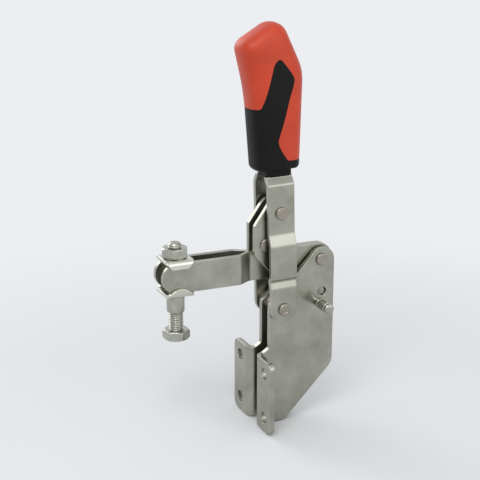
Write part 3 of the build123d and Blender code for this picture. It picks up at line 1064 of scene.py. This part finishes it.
@dataclass
class Links:
    """The two link plates, hull-shaped round their pivots with a square nose."""

    lower: tuple[float, float, float] = (16.1 * MM, 71.5 * MM, 8.2 * MM)
    upper: tuple[float, float, float] = (13.08 * MM, 101.18 * MM, 7.5 * MM)
    nose_x: float = 0.3 * MM
    nose_heights: tuple[float, float] = (78.5 * MM, 93.9 * MM)
    nose_radius: float = 1.2 * MM
    edge: float = 0.28 * MM

    def build(self, plate: bpy.types.Material) -> None:
        """Build both link plates.

        Args:
            plate: Plated sheet material.
        """
        points = circle_loop(*self.lower, 96) + circle_loop(*self.upper, 96)
        for height in self.nose_heights:
            points += circle_loop(self.nose_x, height, self.nose_radius, 32)
        outline = hull_loop(points)
        for name in ("link_plate_near", "link_plate_far"):
            low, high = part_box(name)
            form = blank_form([outline], high[1] - low[1], self.edge)
            middle = (low[1] + high[1]) / 2
            for vert in form.verts:
                x, height, t = vert.co
                vert.co = (x, middle + t, height)
            piece = mesh_object(name + "_pressed", form)
            even_shading(piece)
            dress(piece, plate)
            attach(piece, "link")
            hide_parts(name)
            LOG.info("built %s", piece.name)


@dataclass
class Handle:
    """The stepped handle plates and the two-part moulded grip, drawn up the handle from its pivot."""

    pivot: tuple[float, float] = (14.5 * MM, 47.0 * MM)
    lean: float = math.radians(1.5)
    half_width: float = 7.8 * MM
    tang_half_width: float = 1.6 * MM
    thickness: float = 2.5 * MM
    edge: float = 0.28 * MM
    bend: float = 0.9 * MM
    levels: tuple[tuple[float, float], ...] = (
        (11.3 * MM, -7.8 * MM),
        (11.3 * MM, 12.2 * MM),
        (10.0 * MM, 16.6 * MM),
        (11.7 * MM, 17.7 * MM),
        (11.7 * MM, 36.6 * MM),
        (9.5 * MM, 42.6 * MM),
        (9.5 * MM, 70.0 * MM),
        (6.8 * MM, 73.9 * MM),
        (6.8 * MM, 74.6 * MM),
        (6.8 * MM, 84.0 * MM),
    )
    # Corners of the grip's side view in mm: X, height, rounding, and the share of the side
    # rounding that the line from here to the next corner takes
    grip_corners: tuple[tuple[float, float, float, float], ...] = (
        (-12.7, 77.0, 3.5, 1.0),
        (-15.0, 119.0, 140.0, 1.0),
        (-20.5, 145.2, 6.5, 0.85),
        (3.0, 158.5, 8.0, 0.9),
        (16.1, 129.6, 25.0, 1.0),
        (13.3, 77.0, 3.5, 0.42),
    )
    grip_flat: float = 2.2
    grip_side_depth: float = 8.6
    grip_side_round: float = 8.0
    grip_crown: tuple[tuple[float, float], ...] = ((9.2, 10.93), (10.5, 11.0))
    inlay_outline: tuple[tuple[float, float], ...] = (
        (-22.0, 111.6),
        (-12.3, 111.2),
        (-10.2, 113.4),
        (-7.4, 121.1),
        (-5.4, 127.8),
        (-3.4, 134.2),
        (-0.3, 136.6),
        (3.0, 133.4),
        (7.2, 127.6),
        (7.7, 124.2),
        (5.0, 116.0),
        (2.2, 106.1),
        (-0.9, 97.0),
        (-1.8, 94.0),
        (-0.9, 90.2),
        (2.6, 84.6),
        (5.4, 83.1),
        (22.0, 82.8),
    )
    neck_offset: float = 0.6 * MM
    neck_half_width: float = 7.4 * MM
    neck_half_depth: float = 6.95 * MM
    neck_low: float = 73.7 * MM

    def place(self, x: float, y: float, up: float) -> Vector:
        """Return the point at X across the handle, Y sideways and up its length."""
        c, s = math.cos(self.lean), math.sin(self.lean)
        return Vector((self.pivot[0] + x * c - up * s, y, self.pivot[1] + x * s + up * c))

    def bent_path(self) -> list[tuple[float, float]]:
        """Return the plate's outer line of (distance out, height) with a curve at each bend."""
        points = [Vector(level) for level in self.levels]
        path = [points[0]]
        for before, here, after in zip(points, points[1:], points[2:]):
            trim = min(self.bend, (here - before).length * 0.45, (after - here).length * 0.45)
            start = here + (before - here).normalized() * trim
            end = here + (after - here).normalized() * trim
            for step in range(6):
                t = step / 5
                path.append(start * (1 - t) ** 2 + here * 2 * t * (1 - t) + end * t * t)
        path.append(points[-1])
        round_end = [
            Vector((points[0].x, -self.half_width * math.cos(math.pi / 2 * k / 18))) for k in range(1, 18)
        ]
        return [tuple(p) for p in [Vector((points[0].x, -self.half_width + 0.01 * MM))] + round_end + path[1:]]

    def width_at(self, up: float) -> float:
        """Return the plate's half width at a height."""
        if up < 0:
            return math.sqrt(max(self.half_width**2 - up**2, (0.4 * MM) ** 2))
        shoulder_top = self.levels[7][1] + 0.4 * MM
        return self.half_width if up < shoulder_top else self.tang_half_width

    def build_plates(self, plate: bpy.types.Material) -> None:
        """Press both stepped plates.

        Args:
            plate: Plated sheet material.
        """
        path = self.bent_path()
        for side, name in ((-1, "handle_plate_near"), (1, "handle_plate_far")):
            form = bmesh.new()
            rows = []
            for index, (out, up) in enumerate(path):
                before = Vector(path[max(index - 1, 0)])
                after = Vector(path[min(index + 1, len(path) - 1)])
                along = (after - before).normalized()
                inward = Vector((-along.y, along.x))
                width = self.width_at(up)
                section = rounded_loop(
                    [
                        (-width, 0.0, self.edge),
                        (width, 0.0, self.edge),
                        (width, self.thickness, self.edge),
                        (-width, self.thickness, self.edge),
                    ],
                    3,
                )
                row = []
                for x, depth in section:
                    y = out + inward.x * depth
                    row.append(form.verts.new(self.place(x, side * y, up + inward.y * depth)))
                rows.append(row)
            for lower, upper in zip(rows, rows[1:]):
                for k in range(len(lower)):
                    j = (k + 1) % len(lower)
                    form.faces.new((lower[k], lower[j], upper[j], upper[k]))
            form.faces.new(rows[0][::-1])
            form.faces.new(rows[-1])
            piece = mesh_object(name + "_pressed", form, 32.0)
            even_shading(piece)
            dress(piece, plate)
            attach(piece, "handle")
            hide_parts(name)
            LOG.info("built %s", piece.name)

    def grip_outline(self, inset: float) -> list[tuple[float, float]]:
        """Return the grip's side view in mm, drawn inwards by the side rounding.

        Args:
            inset: How far the side rounding draws the outline inwards, in mm.

        Returns:
            A closed run of (X, height), with the same number of points for every inset.
        """
        lines = []
        for index, (x, up, _radius, share) in enumerate(self.grip_corners):
            after = self.grip_corners[(index + 1) % len(self.grip_corners)]
            along = Vector((after[0] - x, after[1] - up)).normalized()
            lines.append((Vector((x, up)) + Vector((along.y, -along.x)) * inset * share, along))
        moved = []
        for index, (_x, _up, radius, _share) in enumerate(self.grip_corners):
            (start, a), (other, b) = lines[index - 1], lines[index]
            turn = a.x * b.y - a.y * b.x
            gap = other - start
            point = start + a * ((gap.x * b.y - gap.y * b.x) / turn)
            rounding = radius + inset if turn > 0 else max(radius - inset * 0.5, 1.2)
            moved.append((point.x, point.y, rounding))
        return rounded_loop(moved, 9)

    def grip_form(self) -> bmesh.types.BMesh:
        """Build the whole grip as one closed form, layer by layer from side to side.

        Returns:
            The grip before it is parted along its inlay.
        """
        half = [(0.0, 0.0), (self.grip_flat * 0.5, 0.06), (self.grip_flat, 0.2)]
        for step in range(1, 11):
            angle = math.radians(8 * step)
            half.append(
                (
                    self.grip_flat + self.grip_side_depth * math.sin(angle),
                    0.2 + self.grip_side_round * (1 - math.cos(angle)),
                )
            )
        half += [(y, inset) for inset, y in self.grip_crown]
        layers = [(-y, inset) for y, inset in half[:0:-1]] + half
        form = bmesh.new()
        rows = [
            [form.verts.new(self.place(x * MM, y * MM, up * MM)) for x, up in self.grip_outline(inset)]
            for y, inset in layers
        ]
        for lower, upper in zip(rows, rows[1:]):
            for k in range(len(lower)):
                j = (k + 1) % len(lower)
                form.faces.new((lower[k], lower[j], upper[j], upper[k]))
        form.faces.new(rows[0][::-1])
        form.faces.new(rows[-1])
        return form

    def inlay_cutter(self) -> bpy.types.Object:
        """Build the prism that parts the grip along the inlay's outline.

        Returns:
            The cutter.
        """
        eased: list[tuple[float, float]] = []
        points = self.inlay_outline
        for k in range(len(points) - 1):
            p0, p1 = Vector(points[max(k - 1, 0)]), Vector(points[k])
            p2, p3 = Vector(points[k + 1]), Vector(points[min(k + 2, len(points) - 1)])
            for step in range(5):
                t = step / 5
                eased.append(
                    tuple(
                        0.5
                        * (
                            2 * p1
                            + (p2 - p0) * t
                            + (2 * p0 - 5 * p1 + 4 * p2 - p3) * t * t
                            + (3 * p1 - p0 - 3 * p2 + p3) * t**3
                        )
                    )
                )
        eased += [points[-1], (points[-1][0], 60.0), (points[0][0], 60.0)]
        form = bmesh.new()
        rings = [
            [form.verts.new(self.place(x * MM, y, up * MM)) for x, up in eased] for y in (-20 * MM, 20 * MM)
        ]
        for k in range(len(eased)):
            j = (k + 1) % len(eased)
            form.faces.new((rings[0][k], rings[0][j], rings[1][j], rings[1][k]))
        form.faces.new(rings[0][::-1])
        form.faces.new(rings[1])
        return mesh_object("inlay_cutter", form)

    def build_grip(self, red: bpy.types.Material, dark: bpy.types.Material) -> None:
        """Build the hard grip, its soft inlay and the soft neck round the tangs.

        Args:
            red: Hard grip material.
            dark: Soft inlay material.
        """
        cutter = self.inlay_cutter()
        for name, node, how, material in (
            ("grip_shell", "grip_body", "DIFFERENCE", red),
            ("grip_soft_inlay", "grip_inlay", "INTERSECT", dark),
        ):
            whole = mesh_object(name + "_whole", self.grip_form(), 40.0)
            cut = whole.modifiers.new("parting", "BOOLEAN")
            cut.operation = how
            cut.solver = "EXACT"
            cut.object = cutter
            bpy.context.view_layer.update()
            mesh = bpy.data.meshes.new_from_object(whole.evaluated_get(bpy.context.evaluated_depsgraph_get()))
            form = bmesh.new()
            form.from_mesh(mesh)
            piece = mesh_object(name, form, 40.0)
            bpy.data.objects.remove(whole)
            bpy.data.meshes.remove(mesh)
            dress(piece, material)
            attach(piece, "handle")
            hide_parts(node)
            LOG.info("built %s", piece.name)
        bpy.data.objects.remove(cutter)
        section = rounded_loop(
            [
                (-self.neck_half_width, -self.neck_half_depth, 1.8 * MM),
                (self.neck_half_width, -self.neck_half_depth, 2.2 * MM),
                (self.neck_half_width, self.neck_half_depth, 2.2 * MM),
                (-self.neck_half_width, self.neck_half_depth, 2.2 * MM),
            ],
            6,
        )
        form = bmesh.new()
        rows = []
        for up, swell in ((0.0, 0.955), (0.25, 0.985), (0.7, 1.0), (4.2, 1.0)):
            height = self.neck_low + up * MM
            rows.append(
                [form.verts.new(self.place(self.neck_offset + x * swell, y * swell, height)) for x, y in section]
            )
        for lower, upper in zip(rows, rows[1:]):
            for k in range(len(section)):
                j = (k + 1) % len(section)
                form.faces.new((lower[k], lower[j], upper[j], upper[k]))
        form.faces.new(rows[0][::-1])
        form.faces.new(rows[-1])
        neck = mesh_object("grip_soft_neck", form, 40.0)
        dress(neck, dark)
        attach(neck, "handle")
        LOG.info("built %s", neck.name)


@dataclass
class Studio:
    """Plain pale floor, soft lamps and a camera at the photograph's angle."""

    pivot: tuple[float, float] = (14.5 * MM, 47.0 * MM)
    aim_from_pivot: tuple[float, float] = (-21.65 * MM, 39.36 * MM)
    distance: float = 604.6 * MM
    yaw: float = 24.0
    pitch: float = 16.5
    focal_pixels: float = 1120.0
    sensor_mm: float = 36.0
    floor_drop: float = 1.0 * MM
    floor_reach: float = 0.42
    backdrop: str = "ECEEF1"
    floor_colour: str = "DFE0E2"

    def build_camera(self) -> None:
        """Place the camera that the photograph was taken with."""
        data = bpy.data.cameras.new("camera")
        data.sensor_width = self.sensor_mm
        data.lens = self.focal_pixels * self.sensor_mm / IMAGE_SIDE
        camera = bpy.data.objects.new("camera", data)
        bpy.context.scene.collection.objects.link(camera)
        yaw, pitch = math.radians(self.yaw), math.radians(self.pitch)
        forward = Vector((math.sin(yaw) * math.cos(pitch), math.cos(yaw) * math.cos(pitch), -math.sin(pitch)))
        aim = Vector(
            (self.pivot[0] + self.aim_from_pivot[0], 0.0, self.pivot[1] + self.aim_from_pivot[1])
        )
        camera.location = aim - forward * self.distance
        camera.rotation_euler = forward.to_track_quat("-Z", "Y").to_euler()
        bpy.context.scene.camera = camera

    def pale_surface(self, name: str) -> bpy.types.Material:
        """Build a matt floor that fades into the backdrop.

        Args:
            name: The material's name.

        Returns:
            The material.
        """
        material = bpy.data.materials.new(name)
        material.use_nodes = True
        tree = material.node_tree
        shader = tree.nodes["Principled BSDF"]
        shader.inputs["Base Color"].default_value = linear(self.floor_colour)
        shader.inputs["Roughness"].default_value = 0.9
        shader.inputs["Specular IOR Level"].default_value = 0.0
        place = add_node(tree, "ShaderNodeTexCoord", {}, {}).outputs["Object"]
        reach = add_node(tree, "ShaderNodeVectorMath", {"operation": "LENGTH"}, {0: place})
        fade = add_node(
            tree,
            "ShaderNodeMapRange",
            {"From Min": self.floor_reach * 0.35, "From Max": self.floor_reach, "interpolation_type": "SMOOTHSTEP"},
            {"Value": reach.outputs["Value"]},
        )
        clear = add_node(tree, "ShaderNodeBsdfTransparent", {}, {})
        both = add_node(
            tree,
            "ShaderNodeMixShader",
            {},
            {0: fade.outputs["Result"], 1: shader.outputs[0], 2: clear.outputs[0]},
        )
        tree.links.new(both.outputs[0], tree.nodes["Material Output"].inputs["Surface"])
        return material

    def build_floor(self) -> None:
        """Build the floor under the flanges."""
        low, _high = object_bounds()
        form = bmesh.new()
        bmesh.ops.create_grid(form, x_segments=1, y_segments=1, size=self.floor_reach)
        bmesh.ops.translate(form, verts=form.verts, vec=(0, 0, low[2] - self.floor_drop))
        floor = mesh_object("floor", form)
        dress(floor, self.pale_surface("pale_floor"))
        floor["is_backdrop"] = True

    def build_light(self) -> None:
        """Light the clamp softly from the upper left and right, and fill the world with pale grey."""
        lamps = (
            ("key", (-0.45, -0.55, 0.95), 0.6, 4.5),
            ("fill", (0.42, -0.95, 0.50), 0.7, 1.8),
            ("rear", (-0.30, 0.96, 0.55), 0.6, 3.0),
        )
        for name, place, size, watts in lamps:
            data = bpy.data.lights.new(name, "AREA")
            data.size = size
            data.energy = watts
            lamp = bpy.data.objects.new(name, data)
            lamp.location = place
            lamp.visible_camera = False
            aim = Vector((0, 0, 0.09)) - Vector(place)
            lamp.rotation_euler = aim.to_track_quat("-Z", "Y").to_euler()
            bpy.context.scene.collection.objects.link(lamp)
        world = bpy.data.worlds.new("world")
        world.use_nodes = True
        bpy.context.scene.world = world
        tree = world.node_tree
        tree.nodes.clear()
        path = add_node(tree, "ShaderNodeLightPath", {}, {})
        mirrored = add_node(
            tree,
            "ShaderNodeMath",
            {"operation": "MAXIMUM"},
            {0: path.outputs["Is Glossy Ray"], 1: path.outputs["Is Transmission Ray"]},
        )
        seen = add_node(
            tree,
            "ShaderNodeMath",
            {"operation": "MAXIMUM"},
            {0: path.outputs["Is Camera Ray"], 1: mirrored.outputs[0]},
        )
        shown = add_node(tree, "ShaderNodeBackground", {"Color": linear(self.backdrop), "Strength": 1.0}, {})
        lit = add_node(tree, "ShaderNodeBackground", {"Color": linear("F4F6F8"), "Strength": 0.75}, {})
        both = add_node(tree, "ShaderNodeMixShader", {}, {0: seen.outputs[0], 1: lit.outputs[0], 2: shown.outputs[0]})
        add_node(tree, "ShaderNodeOutputWorld", {}, {0: both.outputs[0]})
        bpy.context.scene.view_settings.view_transform = "Standard"


def corners(box: Any) -> list[list[float]]:
    """Return a box's two corners as plain lists."""
    return [[float(v) for v in corner] for corner in box]


def main() -> None:
    logging.basicConfig(level=logging.INFO, format="%(name)s: %(message)s")
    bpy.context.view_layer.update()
    plate_up = PLATE_ALONG_Z.build()
    plate_level = PLATE_ALONG_X.build()
    rivet = RIVET_STEEL.build()
    screw = SCREW_STEEL.build()
    studio = Studio()
    studio.build_camera()
    studio.build_floor()
    studio.build_light()
    # Washer material with painted light: lighter than the strips
    washer = WASHER_ZINC_PAINTED_LIT.build()
    pressed = PressedFrame()
    pressed.build_plates(plate_up, rivet)
    pressed.build_stud(screw)
    Rivets().build(rivet)
    arm = ClampingArm()
    arm.build_strips(plate_level)
    arm.build_washers(washer)
    arm.build_screw(screw)
    Links().build(plate_up)
    handle = Handle()
    handle.build_plates(plate_up)
    handle.build_grip(RED_NYLON.build(), DARK_RUBBER.build())


if __name__ == "__main__":
    main()
